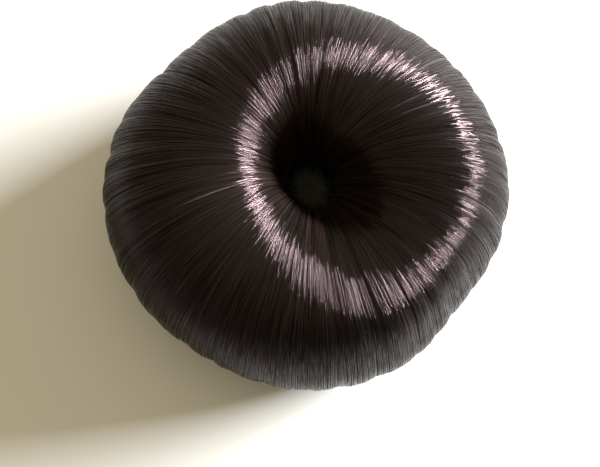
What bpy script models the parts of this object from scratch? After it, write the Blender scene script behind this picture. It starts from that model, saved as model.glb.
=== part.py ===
"""Top knot hairpiece: a ring of straight hair, combed out of the hole in its middle, over and under.

The hair is one hollow ring with an even wall. It rises from the throat of the hole, goes over the
crest, down the rim and in underneath, where a flat elastic band binds its ends round an open mouth.
A small cloth cap closes the throat at its foot, over the roots of the hair.
Metres, +Z up. The origin is the middle of the ring's outline, on the surface that it rests on.
"""

import math

import bmesh
import bpy
from mathutils import Matrix, Vector

# The ring of hair
RING_WIDTH = 0.100
RING_DEPTH = 0.098
RING_HEIGHT = 0.044
RIM_HEIGHT = 0.0215
HAIR_WALL = 0.003

# The hole: its axis lies a little behind the middle, and its throat is a leaning oval
HOLE_RIGHT = 0.0012
HOLE_BACK = 0.0030
THROAT_HALF_WIDTH = 0.0054
THROAT_HALF_DEPTH = 0.0069
THROAT_LEAN = math.radians(20.0)
THROAT_FOOT = 0.0110
THROAT_WAIST = 0.0200

# The locks that the hair lies in
LOCK_COUNT = 36
LOCK_GROOVE = 0.0006

# The underside: the open mouth, and how far the hair's lowest line clears the surface
MOUTH_RADIUS = 0.0260
SOLE_LIFT = 0.0004

# The band and the cap
BAND_WIDTH = 0.0065
BAND_THICKNESS = 0.0016
BAND_EDGE = 0.0004
CAP_THICKNESS = 0.0020
CAP_DOME = 0.0007
SEAT_GAP = 0.0003

# Outline of the ring from above. azimuth is in degrees from +X, reach is the rim's distance from the
# middle as a share of the widest, and crest is the crest's place as a share of the way out to the rim
OUTLINE_COLUMNS = ("azimuth", "reach", "crest")
OUTLINE = (
    (0.0, 1.000, 0.50),
    (30.0, 0.974, 0.50),
    (60.0, 0.957, 0.49),
    (95.0, 0.968, 0.48),
    (135.0, 0.925, 0.49),
    (165.0, 0.986, 0.50),
    (185.0, 0.997, 0.51),
    (210.0, 0.984, 0.51),
    (238.0, 0.957, 0.50),
    (270.0, 0.982, 0.49),
    (298.0, 0.985, 0.50),
    (322.0, 0.943, 0.51),
    (345.0, 0.986, 0.50),
)

# Partings: grooves deeper than the rest, that notch the rim. depth is a multiple of LOCK_GROOVE
PARTINGS = (
    # azimuth, depth
    (169.0, 2.4),
    (140.0, 2.2),
    (105.0, 1.9),
    (86.0, 1.7),
    (66.0, 1.9),
    (347.0, 1.8),
    (317.0, 1.7),
    (293.0, 1.9),
    (281.0, 1.8),
    (214.0, 1.6),
)
GROOVE_DEPTHS = (0.9, 1.2, 0.7, 1.0, 1.35)

# How unevenly the grooves are spaced: the sum of these waves round the ring
GROOVE_WAVES = (
    # degrees, waves in a turn, phase
    (2.2, 5, 40.0),
    (1.3, 11, 0.0),
)

# A lock's two shoulders: their place across it as a share of its width, and the lower one's drop
LOCK_SHOULDER = 0.3
SHOULDER_DROP = 0.12

# How strongly the grooves show on each stretch of a lock
RELIEF_THROAT = 0.15
RELIEF_CREST = 0.8
RELIEF_RIM = 1.0
RELIEF_SOLE = 0.35

# The lowest line's place as a share of the way from the band's seat out to the rim
SOLE_PLACE = 0.37

# The cap's dome: distance from its middle and height, as shares of its reach and of CAP_DOME
DOME = (
    # reach, height
    (0.0, 1.0),
    (0.4, 0.84),
    (0.75, 0.42),
    (1.0, -0.3),
)

# Facets along a lock on each quarter of the section, and round the band and the cap
INNER_STEPS = 5
OUTER_STEPS = 6
LOWER_STEPS = 5
BAND_SIDES = 72
CAP_SIDES = 40


def outline_at(azimuth, name):
    """A column of OUTLINE at an azimuth in degrees, on a smooth closed curve through the rows."""
    azimuth %= 360.0
    column = OUTLINE_COLUMNS.index(name)
    rows = [(row[0] + turn, row[column]) for turn in (-360.0, 0.0, 360.0) for row in OUTLINE]
    after = next(i for i, row in enumerate(rows) if row[0] > azimuth)
    (a0, v0), (a1, v1), (a2, v2), (a3, v3) = rows[after - 2:after + 2]
    span = a2 - a1
    t = (azimuth - a1) / span
    slope_1 = (v2 - v0) / (a2 - a0) * span
    slope_2 = (v3 - v1) / (a3 - a1) * span
    return (
        (2 * t**3 - 3 * t**2 + 1) * v1
        + (t**3 - 2 * t**2 + t) * slope_1
        + (3 * t**2 - 2 * t**3) * v2
        + (t**3 - t**2) * slope_2
    )


def lock_edges():
    """The azimuth in degrees of each groove between two locks, which are not all as wide."""
    edges = []
    for i in range(LOCK_COUNT):
        even = 360.0 * i / LOCK_COUNT
        stray = sum(size * math.sin(math.radians(waves * even + phase)) for size, waves, phase in GROOVE_WAVES)
        edges.append(even + stray)
    return edges


def groove_depth(index, azimuth):
    """How deep a groove is, as a multiple of LOCK_GROOVE: a parting's depth where one is near."""
    half_lock = 180.0 / LOCK_COUNT
    for parting, depth in PARTINGS:
        if abs((azimuth - parting + 180.0) % 360.0 - 180.0) <= half_lock:
            return depth
    return GROOVE_DEPTHS[index % len(GROOVE_DEPTHS)]


def lock_columns():
    """(azimuth, drop) of each line of the skin: a groove, then the two shoulders of its lock."""
    edges = lock_edges()
    columns = []
    for i, edge in enumerate(edges):
        width = (edges[(i + 1) % LOCK_COUNT] - edge) % 360.0
        columns.append((edge, groove_depth(i, edge)))
        columns.append((edge + LOCK_SHOULDER * width, SHOULDER_DROP * (i % 2)))
        columns.append((edge + (1 - LOCK_SHOULDER) * width, SHOULDER_DROP * ((i + 1) % 2)))
    return columns


def toward(azimuth):
    """The level direction at an azimuth in degrees."""
    angle = math.radians(azimuth)
    return Vector((math.cos(angle), math.sin(angle)))


def rim_points(columns):
    """The rim's point in each column, from above, fitted to the ring's width and depth."""
    raw = [toward(azimuth) * outline_at(azimuth, "reach") for azimuth, _ in columns]
    low = Vector((min(p.x for p in raw), min(p.y for p in raw)))
    high = Vector((max(p.x for p in raw), max(p.y for p in raw)))
    middle = (low + high) / 2
    scale = Vector((RING_WIDTH / (high.x - low.x), RING_DEPTH / (high.y - low.y)))
    return [Vector(((p.x - middle.x) * scale.x, (p.y - middle.y) * scale.y)) for p in raw]


def throat_point(azimuth):
    """A point of the throat's oval, from above."""
    angle = math.radians(azimuth) - THROAT_LEAN
    oval = Vector((THROAT_HALF_WIDTH * math.cos(angle), THROAT_HALF_DEPTH * math.sin(angle)))
    return Vector((HOLE_RIGHT, HOLE_BACK)) + Matrix.Rotation(THROAT_LEAN, 2) @ oval


def seat_height():
    """The height of the flat strip of hair that the band lies under."""
    return BAND_THICKNESS + SEAT_GAP


def quarter(steps):
    """The cosine and sine at the ends of the steps of a quarter turn, its start left out."""
    return [(math.cos(a), math.sin(a)) for a in (math.pi / 2 * i / steps for i in range(1, steps + 1))]


def hair_stations(azimuth, rim):
    """The skin down one column, from the root of the hair to the mouth.

    Each station is a point from above, its height and the share of the groove that shows there.
    """
    throat = throat_point(azimuth)
    crest = throat.lerp(rim, outline_at(azimuth, "crest"))
    seat = toward(azimuth) * (MOUTH_RADIUS + BAND_WIDTH + SEAT_GAP)
    sole = seat.lerp(rim, SOLE_PLACE)
    mouth = toward(azimuth) * MOUTH_RADIUS
    stations = [(throat, THROAT_FOOT, 0.0), (throat, THROAT_WAIST, RELIEF_THROAT)]
    for cos, sin in quarter(INNER_STEPS):
        relief = RELIEF_THROAT + (RELIEF_CREST - RELIEF_THROAT) * sin
        stations.append((crest.lerp(throat, cos), THROAT_WAIST + (RING_HEIGHT - THROAT_WAIST) * sin, relief))
    for cos, sin in quarter(OUTER_STEPS):
        relief = RELIEF_CREST + (RELIEF_RIM - RELIEF_CREST) * sin
        stations.append((crest.lerp(rim, sin), RIM_HEIGHT + (RING_HEIGHT - RIM_HEIGHT) * cos, relief))
    for cos, sin in quarter(LOWER_STEPS):
        relief = RELIEF_SOLE + (RELIEF_RIM - RELIEF_SOLE) * cos
        stations.append((sole.lerp(rim, cos), SOLE_LIFT + (RIM_HEIGHT - SOLE_LIFT) * (1 - sin), relief))
    stations.append((seat, seat_height(), 0.0))
    stations.append((mouth, seat_height(), 0.0))
    return stations


def skin_column(azimuth, drop, rim):
    """The points of the skin down one column, with its groove pressed in at right angles to the skin."""
    stations = hair_stations(azimuth, rim)
    level = toward(azimuth)
    points = [Vector((flat.x, flat.y, height)) for flat, height, _ in stations]
    pressed = []
    for i, (point, station) in enumerate(zip(points, stations)):
        run = points[min(i + 1, len(points) - 1)] - points[max(i - 1, 0)]
        along = Vector((level.dot(run.xy), run.z)).normalized()
        outward = Vector((level.x * -along.y, level.y * -along.y, along.x))
        pressed.append(point - outward * (drop * LOCK_GROOVE * station[2]))
    return pressed


def material(name, colour, roughness, sheen=0.0):
    made = bpy.data.materials.new(name)
    made.use_nodes = True
    shader = made.node_tree.nodes["Principled BSDF"]
    shader.inputs["Base Color"].default_value = (*colour, 1.0)
    shader.inputs["Roughness"].default_value = roughness
    shader.inputs["Metallic"].default_value = 0.0
    shader.inputs["Sheen Weight"].default_value = sheen
    return made


def add_object(name, mesh, collection, finish):
    made = bpy.data.objects.new(name, mesh)
    collection.objects.link(made)
    mesh.materials.append(finish)
    return made


def add_hair(collection, finish):
    """The ring of hair: its skin as an open surface in locks, thickened inwards to the wall."""
    columns = lock_columns()
    rims = rim_points(columns)
    shape = bmesh.new()
    grid = [
        [shape.verts.new(point) for point in skin_column(azimuth, drop, rim)]
        for (azimuth, drop), rim in zip(columns, rims)
    ]
    for column, following in zip(grid, grid[1:] + grid[:1]):
        for i in range(len(column) - 1):
            shape.faces.new((column[i], following[i], following[i + 1], column[i + 1]))
    bmesh.ops.recalc_face_normals(shape, faces=shape.faces)
    crest_face = max(shape.faces, key=lambda face: face.calc_center_median().z)
    if crest_face.normal.z < 0:
        bmesh.ops.reverse_faces(shape, faces=shape.faces)
    mesh = bpy.data.meshes.new("hair_ring")
    shape.to_mesh(mesh)
    shape.free()
    mesh.shade_smooth()
    hair = add_object("hair_ring", mesh, collection, finish)
    wall = hair.modifiers.new("wall", "SOLIDIFY")
    wall.thickness = HAIR_WALL
    wall.offset = -1.0
    wall.use_even_offset = False
    return hair


def add_turned(name, profile, sides, collection, finish):
    """A turned piece: a profile of (radius, height) spun about the object's Z axis."""
    mesh = bpy.data.meshes.new(name)
    points = [(radius, 0.0, height) for radius, height in profile]
    mesh.from_pydata(points, [(i, i + 1) for i in range(len(points) - 1)], [])
    turned = add_object(name, mesh, collection, finish)
    screw = turned.modifiers.new("turn", "SCREW")
    screw.steps = sides
    screw.render_steps = sides
    screw.use_merge_vertices = True
    screw.merge_threshold = 0.00005
    screw.use_smooth_shade = True
    return turned


def add_band(collection, finish):
    """The flat elastic band that binds the ends of the hair, and that the ring rests on."""
    inner = MOUTH_RADIUS
    outer = MOUTH_RADIUS + BAND_WIDTH
    edge = BAND_EDGE
    top = BAND_THICKNESS
    profile = (
        (inner + edge, top),
        (outer - edge, top),
        (outer, top - edge),
        (outer, edge),
        (outer - edge, 0.0),
        (inner + edge, 0.0),
        (inner, edge),
        (inner, top - edge),
        (inner + edge, top),
    )
    return add_turned("mouth_band", profile, BAND_SIDES, collection, finish)


def add_cap(collection, finish):
    """The cloth cap over the roots: an oval button with a low dome, plugging the throat's foot."""
    reach = THROAT_HALF_WIDTH - SEAT_GAP
    dome = [(reach * out, CAP_THICKNESS + CAP_DOME * up) for out, up in DOME]
    profile = dome + [(reach, 0.0), (0.0, 0.0)]
    cap = add_turned("centre_cap", profile, CAP_SIDES, collection, finish)
    cap.location = (HOLE_RIGHT, HOLE_BACK, THROAT_FOOT)
    cap.rotation_euler.z = THROAT_LEAN
    cap.scale.y = (THROAT_HALF_DEPTH - SEAT_GAP) / reach
    return cap


def main():
    for old in list(bpy.data.objects):
        bpy.data.objects.remove(old)
    collection = bpy.data.collections.new("top_knot_hairpiece")
    bpy.context.scene.collection.children.link(collection)
    hair_finish = material("dark_brown_hair", (0.035, 0.022, 0.018), 0.35)
    cap_finish = material("cap_cloth", (0.02, 0.02, 0.017), 0.9, sheen=0.2)
    band_finish = material("elastic_webbing", (0.015, 0.013, 0.012), 0.8)
    add_hair(collection, hair_finish)
    add_cap(collection, cap_finish)
    add_band(collection, band_finish)


main()
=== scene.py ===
"""Top knot hairpiece: its looks, over the fixed frame.

Some 2,300 strands lie in two layers on the skin of the frame's ring, gathered into tresses and
wisps. Under them is the dark backing that they are sewn to, then the cap of the hole and the
ribbed elastic of the mouth. All lengths are in metres and follow the frame where they can. A share
is how far along a strand a point lies: 0 at the root, 1 under the band.
"""

import math

import bpy
import numpy as np
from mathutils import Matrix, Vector
from mathutils.bvhtree import BVHTree


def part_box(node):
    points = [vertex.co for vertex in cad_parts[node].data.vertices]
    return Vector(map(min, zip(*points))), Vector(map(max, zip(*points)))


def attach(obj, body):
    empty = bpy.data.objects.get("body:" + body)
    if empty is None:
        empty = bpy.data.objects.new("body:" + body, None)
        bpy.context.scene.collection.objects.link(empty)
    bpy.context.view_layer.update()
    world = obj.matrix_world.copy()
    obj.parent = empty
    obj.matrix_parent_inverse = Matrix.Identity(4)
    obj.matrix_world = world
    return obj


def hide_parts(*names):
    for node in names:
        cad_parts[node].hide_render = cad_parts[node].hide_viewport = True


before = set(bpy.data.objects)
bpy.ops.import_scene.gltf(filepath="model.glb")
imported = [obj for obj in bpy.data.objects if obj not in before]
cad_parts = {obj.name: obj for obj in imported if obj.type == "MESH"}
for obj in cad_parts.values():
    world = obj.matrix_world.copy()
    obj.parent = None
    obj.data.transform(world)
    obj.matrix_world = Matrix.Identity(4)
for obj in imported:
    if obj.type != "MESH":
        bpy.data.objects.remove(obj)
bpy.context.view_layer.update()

# The ring, read from the frame
RING_LOW, RING_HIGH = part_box("hair_ring")
CAP_LOW, CAP_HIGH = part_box("centre_cap")
BAND_LOW, BAND_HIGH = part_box("mouth_band")
HOLE = (CAP_LOW + CAP_HIGH) / 2
RIM_HEIGHT = (RING_LOW.z + RING_HIGH.z) / 2
BAND_OUTER = BAND_HIGH.x
BAND_INNER = min(math.hypot(v.co.x, v.co.y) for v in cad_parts["mouth_band"].data.vertices)
ROOT_TUCK = 0.0012
BACKING_WALL = 0.0028
BACKING_SUNK = 0.00006
CAP_TUCK = 1.07

# Strands
STRAND_RADIUS = 0.00011
STRAND_LENGTH = 0.115
STRAND_CORNERS = (-110.0, -38.0, 38.0, 110.0)
LAYERS = (
    # name, pieces, strands in each, rings along each, lift above the skin, seed
    ("hair_strands_under", 2, 520, 28, -0.00004, 12),
    ("hair_strands_top", 3, 430, 56, 0.00010, 13),
)
OWN_SLOPE = math.radians(0.4)
OWN_SWAY = 0.10
OWN_TURN = 0.30
STRAY_PART = 0.03
STRAY_TURN = 1.2
TURN_PIVOT = 0.45
TUCKED_DEPTH = 0.00010
FLYAWAYS = 16
FLYAWAY_RADIUS = 0.00003

# Painted shade on the gleam: the crest's share, and how much of it all strands have down the rim
CREST_SHARE = 0.40
RIM_GLEAM_SHADE = 0.5

# Bundles that gather the strands: tresses and wisps
BUNDLES = (
    # bundles, pull, dome, sway in degrees, slope of the ripple, ripples along a strand, seed
    (110, 0.12, 0.00009, 0.35, math.radians(0.5), (2.0, 4.0), 7),
    (460, 0.20, 0.00004, 0.08, math.radians(0.6), (3.0, 6.0), 8),
)

# How far the crest lies outside the frame's: waves round the ring, reach, and the azimuth of the farthest
CREST_REACH = ((1, 0.0034, -73.0), (2, 0.0022, 139.0), (3, 0.0006, -42.0))

# How far the strands bridge the grooves of the frame's locks over the crest and at the rim
BRIDGE_CREST = 0.7
BRIDGE_RIM = 0.45

# Skin samples round the ring and along a strand
SKIN_TURNS = 720
SKIN_STATIONS = 72


def smooth_along(values, width, axis, closed):
    """A running mean over an odd number of samples; open ends keep their end values."""
    half = width // 2
    if closed:
        return sum(np.roll(values, shift, axis) for shift in range(-half, half + 1)) / width
    values = np.moveaxis(values, axis, 0)
    before = 2 * values[:1] - values[half:0:-1]
    after = 2 * values[-1:] - values[-2:-2 - half:-1]
    padded = np.concatenate((before, values, after))
    mean = sum(padded[i:i + len(values)] for i in range(width)) / width
    return np.moveaxis(mean, 0, axis)


class Skin:
    """The outer skin of the frame's ring, sampled by azimuth and by share of the way along a strand."""

    def __init__(self):
        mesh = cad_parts["hair_ring"].data
        corners = [v.co.copy() for v in mesh.vertices]
        self.tree = BVHTree.FromPolygons(corners, [tuple(p.vertices) for p in mesh.polygons])
        turns = [self.section(2 * math.pi * i / SKIN_TURNS) for i in range(SKIN_TURNS)]
        # Round off the frame's facets
        points = np.array(turns)
        for _ in range(2):
            points = smooth_along(points, 5, 1, closed=False)
        points = smooth_along(points, 3, 0, closed=True)
        # Bridge the grooves between its locks
        level = points
        for _ in range(3):
            level = smooth_along(level, 15, 0, closed=True)
        share = np.linspace(0.0, 1.0, SKIN_STATIONS)
        bridge = BRIDGE_CREST + (BRIDGE_RIM - BRIDGE_CREST) * ease(share, 0.40, 0.62)
        points = points + (level - points) * bridge[None, :, None]
        # Move the crest outward
        bell = ease(share, 0.04, 0.28) * (1 - ease(share, 0.44, 0.66))
        turn = np.arange(SKIN_TURNS) * 360.0 / SKIN_TURNS
        reach = sum(far * np.cos(waves * np.radians(turn - toward)) for waves, far, toward in CREST_REACH)
        out = np.stack((np.cos(np.radians(turn)), np.sin(np.radians(turn)), np.zeros(SKIN_TURNS)), 1)
        points = points + bell[None, :, None] * (reach[:, None] * out)[:, None, :]
        across = np.roll(points, -1, 0) - np.roll(points, 1, 0)
        along = np.gradient(points, axis=1)
        normals = np.cross(along, across)
        self.points = points
        self.normals = normals / np.linalg.norm(normals, axis=2, keepdims=True)
        gaps = np.linalg.norm(np.roll(points, -1, 0) - points, axis=2)
        girths = gaps.sum(0)
        self.spread = girths / girths.max()

    def hit(self, start, heading):
        return self.tree.ray_cast(start, heading)[0]

    def section(self, azimuth):
        """The skin's points in the upright plane of one azimuth, from the root to under the band."""
        out = Vector((math.cos(azimuth), math.sin(azimuth), 0.0))
        eye = Vector((HOLE.x, HOLE.y, RIM_HEIGHT - 0.003))
        throat = self.hit(eye, out)
        rim = self.hit(Vector((0, 0, RIM_HEIGHT)) + out * 0.08, -out)
        level = Vector((rim.x - throat.x, rim.y - throat.y, 0.0))
        core = Vector(((rim.x + throat.x) / 2, (rim.y + throat.y) / 2, RIM_HEIGHT))
        reach = level.length / 2
        level.normalize()
        root_angle = math.pi + math.atan2(RIM_HEIGHT - (CAP_HIGH.z - ROOT_TUCK), reach)
        tuck = out * (BAND_OUTER - ROOT_TUCK) - core
        end_angle = math.atan2(BAND_HIGH.z - RIM_HEIGHT, tuck.dot(level))
        to_eye = math.hypot(core.x - HOLE.x, core.y - HOLE.y)
        points = []
        for k in range(SKIN_STATIONS):
            angle = root_angle + (end_angle - root_angle) * k / (SKIN_STATIONS - 1)
            heading = level * math.cos(angle) + Vector((0, 0, math.sin(angle)))
            far = 0.04
            if heading.dot(level) < -0.3:
                far = min(far, 0.92 * to_eye / -heading.dot(level))
            points.append(self.hit(core + heading * far, -heading))
        return points

    def at(self, azimuth, share):
        """Points and normals of the skin at azimuths in degrees and shares of the way along."""
        turn = (azimuth / 360.0 * SKIN_TURNS) % SKIN_TURNS
        way = np.clip(share, 0.0, 1.0) * (SKIN_STATIONS - 1)
        i = np.floor(turn).astype(int)
        j = np.minimum(np.floor(way).astype(int), SKIN_STATIONS - 2)
        u = (turn - i)[..., None]
        v = (way - j)[..., None]
        i %= SKIN_TURNS
        k = (i + 1) % SKIN_TURNS

        def mix(grid):
            near = grid[i, j] * (1 - v) + grid[i, j + 1] * v
            far = grid[k, j] * (1 - v) + grid[k, j + 1] * v
            return near * (1 - u) + far * u

        normals = mix(self.normals)
        return mix(self.points), normals / np.linalg.norm(normals, axis=-1, keepdims=True)

    def crowding(self, share):
        """How far apart neighbours lie there, as a share of the widest."""
        way = np.clip(share, 0.0, 1.0) * (SKIN_STATIONS - 1)
        return np.interp(way, np.arange(SKIN_STATIONS), self.spread)


def ease(value, low, high):
    """0 below low, 1 above high, smooth between."""
    t = np.clip((value - low) / (high - low), 0.0, 1.0)
    return t * t * (3 - 2 * t)


def mesh_object(name, vertices, quads, triangles=(), smooth=True):
    """An object from arrays of corners, quads and triangles."""
    mesh = bpy.data.meshes.new(name)
    quads = np.asarray(quads, dtype=np.int32).reshape(-1, 4)
    triangles = np.asarray(triangles, dtype=np.int32).reshape(-1, 3)
    mesh.vertices.add(len(vertices))
    mesh.vertices.foreach_set("co", np.asarray(vertices, dtype=np.float32).ravel())
    corners = np.concatenate((quads.ravel(), triangles.ravel()))
    mesh.loops.add(len(corners))
    mesh.loops.foreach_set("vertex_index", corners)
    sizes = np.concatenate((np.full(len(quads), 4), np.full(len(triangles), 3))).astype(np.int32)
    mesh.polygons.add(len(sizes))
    mesh.polygons.foreach_set("loop_start", np.concatenate(([0], np.cumsum(sizes)[:-1])).astype(np.int32))
    mesh.update(calc_edges=True)
    mesh.validate()
    if smooth:
        mesh.shade_smooth()
    made = bpy.data.objects.new(name, mesh)
    bpy.context.scene.collection.objects.link(made)
    return made


class Bundles:
    """Narrow bundles of strands all round the ring, which the strands of every layer share."""

    def __init__(self, count, pull, dome, sway, slope, cycles, seed):
        rng = np.random.default_rng(seed)
        self.count = count
        self.edges = (np.arange(count) + rng.uniform(-0.35, 0.35, count)) * 360.0 / count
        self.widths = np.diff(np.append(self.edges, self.edges[0] + 360.0))
        self.pull = rng.uniform(0.2, 1.0, count) * pull
        self.height = rng.uniform(0.3, 1.0, count) * dome
        self.roll = rng.uniform(-0.5, 0.5, count) * dome
        self.sway = rng.uniform(0.2, 1.0, count) * sway
        self.tone = rng.random(count)
        self.waves = rng.uniform(0.6, 2.2, (count, 2))
        self.phases = rng.uniform(0, 2 * math.pi, (count, 3))
        self.cycles = rng.uniform(*cycles, count)
        self.ripple = rng.uniform(0.2, 1.0, count) * slope * STRAND_LENGTH / (2 * math.pi * self.cycles)

    def of(self, azimuth):
        """The bundle of each azimuth, and where in it that is, from -1 to 1."""
        turned = (azimuth - self.edges[0]) % 360.0 + self.edges[0]
        which = np.searchsorted(self.edges, turned, side="right") - 1
        place = (turned - self.edges[which]) / self.widths[which] * 2 - 1
        return which, place

    def draw(self, azimuth, share, spread):
        """How far the bundle turns each strand, in degrees, and how far it lifts it."""
        which, place = self.of(azimuth)
        phases = self.phases[which]
        gather = 0.5 + 0.5 * np.sin(2 * math.pi * share * self.waves[which, :1] + phases[:, :1])
        to_middle = -place * self.widths[which] / 2 * self.pull[which]
        swing = np.sin(2 * math.pi * share * self.waves[which, 1:] + phases[:, 1:2])
        turned = to_middle[:, None] * gather + self.sway[which][:, None] * swing
        round_top = self.height[which] * (1 - place**2) + self.roll[which] * place
        wave = np.sin(2 * math.pi * share * self.cycles[which][:, None] + phases[:, 2:])
        return turned, round_top[:, None] * spread + self.ripple[which][:, None] * wave


def give(piece, name, values):
    """A number at each corner of a piece, which its finish reads."""
    attribute = piece.data.attributes.new(name, "FLOAT", "POINT")
    attribute.data.foreach_set("value", values.astype(np.float32))


def tubes(centres, outward, radii):
    """Corners and faces of closed four-sided tubes, rounder on top: centres are (tube, ring, xyz)."""
    count, rings, _ = centres.shape
    sides = len(STRAND_CORNERS)
    along = np.gradient(centres, axis=1)
    along /= np.linalg.norm(along, axis=2, keepdims=True)
    beside = np.cross(along, outward)
    beside /= np.linalg.norm(beside, axis=2, keepdims=True)
    outward = np.cross(beside, along)
    corners = []
    for turn in np.radians(STRAND_CORNERS):
        corners.append(centres + radii[..., None] * (math.sin(turn) * beside + math.cos(turn) * outward))
    vertices = np.stack(corners, axis=2).reshape(-1, 3)
    first = np.arange(count)[:, None, None] * rings * sides
    ring = np.arange(rings - 1)[None, :, None] * sides
    side = np.arange(sides)[None, None, :]
    a = first + ring + side
    b = first + ring + (side + 1) % sides
    quads = np.stack((a, a + sides, b + sides, b), axis=-1).reshape(-1, 4)
    start = np.arange(count)[:, None] * rings * sides
    end = start + (rings - 1) * sides
    caps = np.concatenate((start + [0, 1, 2, 3], end + [3, 2, 1, 0]))
    return vertices, np.concatenate((quads, caps))


def add_strands(name, count, rings, lift, seed, skin, bundles, part, parts):
    """One piece of a layer of strands, from the cap of the hole over the crest and under to the band."""
    rng = np.random.default_rng(100 * seed + part)
    azimuth = (np.arange(count) + (part + rng.uniform(0.2, 0.8, count)) / parts) * 360.0 / count
    steps = np.linspace(0.0, 1.0, rings)[None, :]
    slide = rng.uniform(-0.45, 0.45, (count, 1)) / (rings - 1)
    share = steps + slide * np.sin(math.pi * steps)
    spread = skin.crowding(share)
    phase = rng.uniform(0, 2 * math.pi, (count, 2))
    cycles = rng.uniform(5.0, 12.0, (count, 1))
    slope = rng.uniform(0.2, 1.0, (count, 1)) * OWN_SLOPE
    strays = rng.random(count) < STRAY_PART
    turn = np.where(strays, rng.uniform(-STRAY_TURN, STRAY_TURN, count), rng.normal(0, OWN_TURN, count))
    turned = azimuth[:, None] + turn[:, None] * (share - TURN_PIVOT)
    turned = turned + OWN_SWAY * np.sin(2 * math.pi * share * cycles / 4 + phase[:, :1])
    wave = np.sin(2 * math.pi * share * cycles + phase[:, 1:])
    height = lift + rng.uniform(0, 0.00003, (count, 1))
    height = height + slope * STRAND_LENGTH / (2 * math.pi * cycles) * wave
    for bundle in bundles:
        drawn, rise = bundle.draw(azimuth, share, spread)
        turned = turned + drawn
        height = height + rise
    tucked = ease(share, 0.0, 0.05) * (1 - ease(share, 0.90, 0.985))
    height = height * tucked - TUCKED_DEPTH * (1 - tucked)
    points, normals = skin.at(turned, share)
    centres = points + normals * height[..., None]
    radii = STRAND_RADIUS * (0.25 + 0.75 * spread) * rng.uniform(0.8, 1.2, (count, 1))
    made = mesh_object(name, *tubes(centres, normals, radii))
    corners = len(STRAND_CORNERS)
    shared = [bundle.tone[bundle.of(azimuth)[0]] for bundle in bundles]
    tone = 0.5 * rng.random(count) + 0.2 * shared[0] + 0.3 * shared[1]
    give(made, "tone", np.repeat(tone, rings * corners))
    give(made, "wisp", np.repeat(shared[1], rings * corners))
    # Painted shade on the gleam: a random pick of strands, as if shaded by their neighbours, is mixed toward
    # a matt shader, less so inside the crest; down the rim all strands have the same share, and the roots
    # have it in full
    shaded_strands = 0.75 * rng.random(count) + 0.25 * (shared[1] * 7.0 % 1.0)
    dull = ease(shaded_strands, 0.54, 0.76)[:, None] * (1 - 0.4 * ease(CREST_SHARE - share, 0.08, 0.22))
    dull += (RIM_GLEAM_SHADE - dull) * ease(share, 0.47, 0.60)
    dull = np.maximum(dull, 1 - ease(share, 0.03, 0.08))
    give(made, "dull", np.repeat(dull.ravel(), corners))
    give(made, "along", np.repeat(share.ravel(), corners))
    return made


def add_flyaways(skin):
    """A few loose hairs that stand off the ring in low arcs."""
    rng = np.random.default_rng(31)
    rings = 22
    start = rng.uniform(0.12, 0.62, FLYAWAYS)
    length = rng.uniform(0.10, 0.32, FLYAWAYS)
    steps = np.linspace(0.0, 1.0, rings)[None, :]
    share = start[:, None] + length[:, None] * steps
    azimuth = rng.uniform(0, 360.0, FLYAWAYS)
    bend = rng.uniform(-5.0, 5.0, FLYAWAYS)
    turned = azimuth[:, None] + bend[:, None] * steps + 0.3 * np.sin(2.5 * math.pi * steps + azimuth[:, None])
    rise = rng.uniform(0.0002, 0.0008, FLYAWAYS)[:, None] * np.sin(math.pi * steps) + 0.0003
    points, normals = skin.at(turned, share)
    centres = points + normals * rise[..., None]
    radii = np.full((FLYAWAYS, rings), FLYAWAY_RADIUS)
    made = mesh_object("loose_hairs", *tubes(centres, normals, radii))
    for name, most in (("tone", 0.5), ("wisp", 1.0)):
        give(made, name, np.repeat(rng.uniform(0.0, most, FLYAWAYS), rings * len(STRAND_CORNERS)))
    # The loose hairs have the painted shade on their gleam in full, so they catch next to no gleam
    for name, level in (("dull", 1.0), ("along", 0.5)):
        give(made, name, np.full(len(made.data.vertices), level))
    return made


def add_backing(skin):
    """The dark backing under the strands: the skin, a little sunk, on to the edge of the mouth."""
    turns, rows = 240, 40
    azimuth = np.arange(turns) * 360.0 / turns
    share = np.linspace(0.0, 1.0, rows)
    points, normals = skin.at(np.repeat(azimuth[:, None], rows, 1), np.repeat(share[None, :], turns, 0))
    points = points - normals * BACKING_SUNK
    foot = points[:, :1].copy()
    foot[:, :, 2] = CAP_LOW.z
    angle = np.radians(azimuth)
    around = np.stack((np.cos(angle), np.sin(angle)), 1)
    seat_height = points[:, -1, 2]
    edge = []
    for radius in (BAND_OUTER - 0.003, (BAND_OUTER + BAND_INNER) / 2 - 0.001, BAND_INNER):
        edge.append(np.column_stack((around * radius, seat_height))[:, None, :])
    grid = np.concatenate([foot, points] + edge, axis=1)
    stations = grid.shape[1]
    index = np.arange(turns * stations).reshape(turns, stations)
    following = np.roll(index, -1, 0)
    quads = np.stack((index[:, :-1], index[:, 1:], following[:, 1:], following[:, :-1]), -1).reshape(-1, 4)
    made = mesh_object("hair_backing", grid.reshape(-1, 3), quads)
    wall = made.modifiers.new("wall", "SOLIDIFY")
    wall.thickness = BACKING_WALL
    wall.offset = -1.0
    return made


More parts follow.
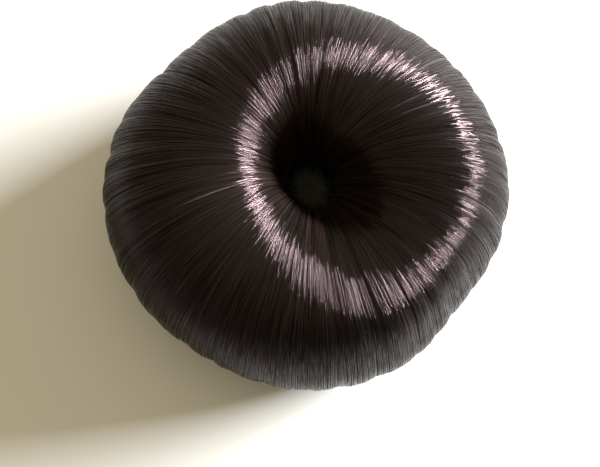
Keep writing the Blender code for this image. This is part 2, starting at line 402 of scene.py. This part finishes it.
def add_cap():
    """The cloth cap in the eye of the hole: a low dome with faint gathers."""
    turns, rounds = 96, 16
    half = (CAP_HIGH - CAP_LOW) / 2
    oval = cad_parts["centre_cap"].data.vertices
    flat = np.array([(v.co.x - HOLE.x, v.co.y - HOLE.y) for v in oval])
    angles = np.arctan2(flat[:, 1], flat[:, 0])
    reach = np.hypot(flat[:, 0], flat[:, 1])
    outer = reach > 0.7 * half.x
    order = np.argsort(angles[outer])
    known = angles[outer][order]
    reaches = reach[outer][order]
    vertices = [(HOLE.x, HOLE.y, CAP_HIGH.z)]
    for r in range(1, rounds + 1):
        out = r / rounds
        for t in range(turns):
            angle = -math.pi + 2 * math.pi * t / turns
            edge = float(np.interp(angle, known, reaches, period=2 * math.pi))
            crease = 0.00006 * math.sin(3 * angle + 9 * out)
            height = CAP_HIGH.z - 0.0009 * out**2.2 + crease * out
            away = edge * out * CAP_TUCK
            vertices.append((HOLE.x + away * math.cos(angle), HOLE.y + away * math.sin(angle), height))
    for t in range(turns):
        top = vertices[1 + (rounds - 1) * turns + t]
        vertices.append((top[0], top[1], CAP_LOW.z))
    vertices.append((HOLE.x, HOLE.y, CAP_LOW.z))
    triangles = [(0, 1 + t, 1 + (t + 1) % turns) for t in range(turns)]
    quads = []
    for r in range(rounds):
        for t in range(turns):
            a = 1 + r * turns + t
            b = 1 + r * turns + (t + 1) % turns
            quads.append((a, a + turns, b + turns, b))
    last = 1 + rounds * turns
    triangles += [(len(vertices) - 1, last + (t + 1) % turns, last + t) for t in range(turns)]
    made = mesh_object("cap_cloth", vertices, quads, triangles)
    # How far out each corner lies, which the finish reads for the painted shade at the cap's edge
    rim = [0.0] + [r / rounds for r in range(1, rounds + 1) for _ in range(turns)] + [1.0] * (turns + 1)
    give(made, "rim", np.array(rim))
    return made


def add_band():
    """The elastic of the mouth: a flat ring with ribs along it and a fine knit across."""
    ribs = 5
    turns = 240
    width = BAND_OUTER - BAND_INNER
    thick = BAND_HIGH.z - BAND_LOW.z
    across = np.linspace(0.0, 1.0, ribs * 4 + 1)
    wave = 0.5 - 0.5 * np.cos(2 * math.pi * across * ribs)
    face = 0.00022 * (1 - wave)
    lower = [(BAND_INNER + width * x, BAND_LOW.z + f) for x, f in zip(across, face)]
    upper = [(BAND_INNER + width * x, BAND_HIGH.z - f) for x, f in zip(across[::-1], face[::-1])]
    side_out = [(BAND_OUTER + 0.00008, BAND_LOW.z + thick / 2)]
    side_in = [(BAND_INNER - 0.00008, BAND_LOW.z + thick / 2)]
    profile = np.array(lower + side_out + upper + side_in)
    angle = 2 * math.pi * np.arange(turns) / turns
    knit = 1 + 0.0012 * (np.arange(turns) % 2)
    radius = profile[None, :, 0] * knit[:, None]
    height = np.repeat(profile[None, :, 1], turns, 0)
    vertices = np.stack((radius * np.cos(angle)[:, None], radius * np.sin(angle)[:, None], height), -1)
    sides = len(profile)
    index = np.arange(turns * sides).reshape(turns, sides)
    following = np.roll(index, -1, 0)
    beside = np.roll(index, -1, 1)
    corner = np.roll(following, -1, 1)
    quads = np.stack((index, following, corner, beside), -1).reshape(-1, 4)
    return mesh_object("mouth_elastic", vertices.reshape(-1, 3), quads)


class Value:
    """A number or vector socket of a material, with the arithmetic that adds Math nodes."""

    def __init__(self, finish, socket):
        self.finish = finish
        self.socket = socket

    def maths(self, operation, *others):
        inputs = {i: other for i, other in enumerate((self,) + others)}
        return self.finish.node("ShaderNodeMath", {"operation": operation}, inputs)

    def __add__(self, other):
        return self.maths("ADD", other)

    __radd__ = __add__

    def __sub__(self, other):
        return self.maths("SUBTRACT", other)

    def __rsub__(self, other):
        return self.finish.node("ShaderNodeMath", {"operation": "SUBTRACT"}, {0: other, 1: self})

    def __mul__(self, other):
        return self.maths("MULTIPLY", other)

    __rmul__ = __mul__


class Nodes:
    """The nodes of a material or of the room's light."""

    def __init__(self, tree, shader):
        self.tree = tree
        self.shader = tree.nodes[shader]

    def node(self, kind, settings=None, inputs=None, output=0):
        """A node of a type, with its settings made first and then its sockets' values or links."""
        made = self.tree.nodes.new(kind)
        for key, value in (settings or {}).items():
            if key == "stops":
                self.set_stops(made.color_ramp, value)
            else:
                setattr(made, key, value)
        for key, value in (inputs or {}).items():
            if isinstance(value, Value):
                self.tree.links.new(value.socket, made.inputs[key])
            else:
                made.inputs[key].default_value = value
        return Value(self, made.outputs[output])

    def set_stops(self, ramp, stops):
        while len(ramp.elements) < len(stops):
            ramp.elements.new(1.0)
        for element, (place, colour) in zip(ramp.elements, stops):
            element.position = place
            element.color = (*colour, 1.0)

    def place(self):
        """Where on the object a point is, in metres."""
        return self.node("ShaderNodeTexCoord", output="Object")

    def attribute(self, name):
        """A number that each corner of the mesh holds."""
        return self.node("ShaderNodeAttribute", {"attribute_name": name}, None, "Fac")

    def ramp(self, fac, stops):
        return self.node("ShaderNodeValToRGB", {"stops": stops}, {"Fac": fac})

    def noise(self, scale, detail=2.0, vector=None):
        inputs = {"Scale": scale, "Detail": detail, "Vector": vector or self.place()}
        return self.node("ShaderNodeTexNoise", None, inputs, "Fac")

    def bump(self, height, strength, distance):
        inputs = {"Height": height, "Strength": strength, "Distance": distance}
        return self.node("ShaderNodeBump", None, inputs, "Normal")

    def set(self, **values):
        """Constants and links of the shader, by socket name with _ for a space."""
        for key, value in values.items():
            socket = self.shader.inputs[key.replace("_", " ")]
            if isinstance(value, Value):
                self.tree.links.new(value.socket, socket)
            else:
                socket.default_value = value


class Finish(Nodes):
    """A material under construction."""

    def __init__(self, name):
        self.material = bpy.data.materials.new(name)
        self.material.use_nodes = True
        super().__init__(self.material.node_tree, "Principled BSDF")

    def set(self, **values):
        super().set(**values)
        return self.material

    def mix(self, other, share):
        """Another shader mixed into the first by its share."""
        first = Value(self, self.shader.outputs[0])
        mixed = self.node("ShaderNodeMixShader", None, {0: share, 1: first, 2: other})
        self.tree.links.new(mixed.socket, self.tree.nodes["Material Output"].inputs["Surface"])
        return self.material


def hair_finish():
    """Glossy synthetic hair, near black, with red-brown in it; each strand has its own tone. Its colour holds
    painted light inside the hole and painted shade down the rim, and strands picked as shaded have their
    gleam painted out.
    """
    finish = Finish("dark_brown_hair")
    tone = finish.attribute("tone")
    along = finish.attribute("along")
    # Painted light and shade: by share along the strand, the colour is lighter inside the hole toward the
    # roots and darker over the crest and down the rim
    painted_light = finish.ramp(along, (
        (0.08, (0.90, 0.90, 0.90)),
        (0.28, (0.66, 0.66, 0.66)),
        (0.40, (0.45, 0.45, 0.45)),
        (0.60, (0.38, 0.38, 0.38)),
    ))
    patch = finish.noise(90.0)
    colour = finish.ramp((tone * 1.4 + patch * 0.5 - 0.05) * painted_light, (
        (0.0, (0.002, 0.0022, 0.0020)),
        (0.45, (0.005, 0.0042, 0.0038)),
        (0.8, (0.012, 0.0080, 0.0066)),
        (1.0, (0.034, 0.018, 0.015)),
    ))
    # Wisps and strands wave a little along their length, which breaks the gleam into short dashes
    wisp = finish.attribute("wisp")
    wisp_place = finish.node("ShaderNodeCombineXYZ", None, {"X": wisp * 300.0, "Y": along * 13.0})
    strand_place = finish.node("ShaderNodeCombineXYZ", None, {"X": tone * 900.0, "Y": along * 19.0, "Z": 5.0})
    wave = finish.noise(1.0, 0.0, wisp_place) * 0.4 + finish.noise(1.0, 0.0, strand_place) * 0.6
    finish.set(
        Base_Color=colour,
        Roughness=tone * tone * 0.12 + patch * 0.04 + 0.13,
        IOR=1.48,
        Anisotropic=0.95,
        Specular_Tint=(1.0, 0.67, 0.70, 1.0),
        Normal=finish.bump(wave, 1.0, 0.0013),
    )
    # Painted shade: strands picked as shaded are mixed toward a matt shader, so they catch next to no gleam
    matt = {"Base Color": colour, "Roughness": 0.5, "IOR": 1.2, "Specular Tint": (1.0, 0.6, 0.55, 1.0)}
    shaded_strands = finish.node("ShaderNodeBsdfPrincipled", None, matt)
    return finish.mix(shaded_strands, finish.attribute("dull"))


def backing_finish():
    """The net behind the hair: matt, near black, a fine mesh of threads."""
    finish = Finish("net_backing")
    mesh = finish.node("ShaderNodeTexVoronoi", {"feature": "DISTANCE_TO_EDGE"},
                       {"Vector": finish.place(), "Scale": 1400.0}, "Distance")
    thread = finish.ramp(mesh, ((0.0, (0.020, 0.014, 0.013)), (0.35, (0.004, 0.003, 0.003))))
    return finish.set(
        Base_Color=thread,
        Roughness=0.75,
        Normal=finish.bump(1.0 - mesh, 0.5, 0.0002),
    )


def cap_finish():
    """The cloth in the eye of the hole: dark, a little green, plain weave, with painted shade that darkens it
    to black at its edge, where the hair meets it.
    """
    finish = Finish("cap_cloth")
    warp = finish.node("ShaderNodeTexWave", {"bands_direction": "X"},
                       {"Vector": finish.place(), "Scale": 480.0, "Distortion": 0.6}, "Fac")
    weft = finish.node("ShaderNodeTexWave", {"bands_direction": "Y"},
                       {"Vector": finish.place(), "Scale": 480.0, "Distortion": 0.6}, "Fac")
    weave = warp * 0.5 + weft * 0.5
    mottle = finish.noise(500.0)
    # Painted shade: from two thirds of the way out to its edge the cap's colour darkens to black, where it
    # meets the hair
    edge = finish.ramp(finish.attribute("rim"), ((0.68, (1.0, 1.0, 1.0)), (1.0, (0.0, 0.0, 0.0))))
    colour = finish.ramp((weave * 0.3 + mottle * 0.7) * edge, (
        (0.0, (0.004, 0.004, 0.004)),
        (0.3, (0.020, 0.022, 0.018)),
        (0.8, (0.056, 0.062, 0.050)),
    ))
    return finish.set(
        Base_Color=colour,
        Roughness=0.85,
        Sheen_Weight=0.2,
        Normal=finish.bump(weave, 0.4, 0.0002),
    )


def band_finish():
    """Black knitted elastic."""
    finish = Finish("elastic_webbing")
    knit = finish.noise(1500.0, 3.0)
    colour = finish.ramp(knit, ((0.3, (0.008, 0.007, 0.007)), (0.7, (0.028, 0.025, 0.024))))
    return finish.set(
        Base_Color=colour,
        Roughness=knit * 0.2 + 0.65,
        Normal=finish.bump(knit, 0.4, 0.0002),
    )


def wear(piece, material, node=None):
    """Dress a piece of the hairpiece: its finish, its body, and the node that it stands for."""
    piece.data.materials.append(material)
    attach(piece, "root")
    if node:
        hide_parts(node)


def add_hairpiece():
    skin = Skin()
    bundles = [Bundles(*row) for row in BUNDLES]
    hair = hair_finish()
    wear(add_backing(skin), backing_finish(), "hair_ring")
    for name, parts, count, rings, lift, seed in LAYERS:
        for part in range(parts):
            strands = add_strands(f"{name}_{part + 1}", count, rings, lift, seed, skin, bundles, part, parts)
            wear(strands, hair, "hair_ring")
    wear(add_flyaways(skin), hair, None)
    wear(add_cap(), cap_finish(), "centre_cap")
    wear(add_band(), band_finish(), "mouth_band")


# The view: the photograph's angle, with the ring a little above the picture's middle
CAMERA_ELEVATION = math.radians(76.0)
CAMERA_DISTANCE = 0.33
CAMERA_TARGET = Vector((-0.0015, -0.0109, 0.022))
PICTURE_WIDTH_THERE = 0.1462

# The window: low on the right and a little behind. The room: warm, dim, brighter above and behind
WINDOW_AZIMUTH = math.radians(21.0)
WINDOW_ELEVATION = math.radians(18.0)
WINDOW_DISTANCE = 1.4
WINDOW_WIDTH = 0.8
WINDOW_HEIGHT = 0.2
WINDOW_POWER = 120.0
WINDOW_LIGHT = (0.95, 0.97, 1.0)
ROOM_LIGHT = (1.0, 0.86, 0.58, 1.0)
ROOM_STRENGTH = 0.27
ROOM_LEAN = (-0.19, 0.22, 0.34)


def heading(azimuth, elevation):
    level = math.cos(elevation)
    return Vector((level * math.cos(azimuth), level * math.sin(azimuth), math.sin(elevation)))


def aim(piece, place, target):
    piece.location = place
    piece.rotation_euler = (target - place).to_track_quat("-Z", "Y").to_euler()


def add_camera():
    lens = bpy.data.cameras.new("camera")
    lens.sensor_width = 36.0
    lens.lens = lens.sensor_width * CAMERA_DISTANCE / PICTURE_WIDTH_THERE
    lens.clip_start = 0.01
    camera = bpy.data.objects.new("camera", lens)
    bpy.context.scene.collection.objects.link(camera)
    aim(camera, CAMERA_TARGET + heading(-math.pi / 2, CAMERA_ELEVATION) * CAMERA_DISTANCE, CAMERA_TARGET)
    bpy.context.scene.camera = camera


def add_window():
    light = bpy.data.lights.new("window", "AREA")
    light.shape = "RECTANGLE"
    light.size = WINDOW_WIDTH
    light.size_y = WINDOW_HEIGHT
    light.energy = WINDOW_POWER
    light.color = WINDOW_LIGHT
    window = bpy.data.objects.new("window", light)
    bpy.context.scene.collection.objects.link(window)
    centre = Vector((0.0, 0.0, 0.02))
    aim(window, centre + heading(WINDOW_AZIMUTH, WINDOW_ELEVATION) * WINDOW_DISTANCE, centre)


def add_room():
    world = bpy.data.worlds.new("room")
    world.use_nodes = True
    room = Nodes(world.node_tree, "Background")
    facing = room.node("ShaderNodeTexCoord", output="Generated")
    lean = room.node("ShaderNodeVectorMath", {"operation": "DOT_PRODUCT"}, {0: facing, 1: ROOM_LEAN}, "Value")
    room.set(Color=ROOM_LIGHT, Strength=lean + ROOM_STRENGTH)
    bpy.context.scene.world = world
    side = 1.5
    corners = [(-side, -side, 0.0), (side, -side, 0.0), (side, side, 0.0), (-side, side, 0.0)]
    floor = mesh_object("floor", corners, [(0, 1, 2, 3)], smooth=False)
    finish = Finish("pale_surface")
    mottle = finish.noise(6.0)
    # Painted shade: toward the viewer, outside the picture, the surface is darker
    toward = finish.node("ShaderNodeVectorMath", {"operation": "DOT_PRODUCT"},
                         {0: finish.place(), 1: (0.0, -1.0, 0.0)}, "Value")
    near = finish.ramp(toward, ((0.08, (1.0, 1.0, 1.0)), (0.14, (0.25, 0.25, 0.25))))
    pale = ((0.0, (0.10, 0.10, 0.10)), (1.0, (0.83, 0.83, 0.80)))
    floor.data.materials.append(finish.set(
        Base_Color=finish.ramp(near * (mottle * 0.1 + 0.93), pale),
        Roughness=0.7,
    ))


def main():
    bpy.context.scene.view_settings.view_transform = "Standard"
    add_camera()
    add_window()
    add_room()
    add_hairpiece()


main()
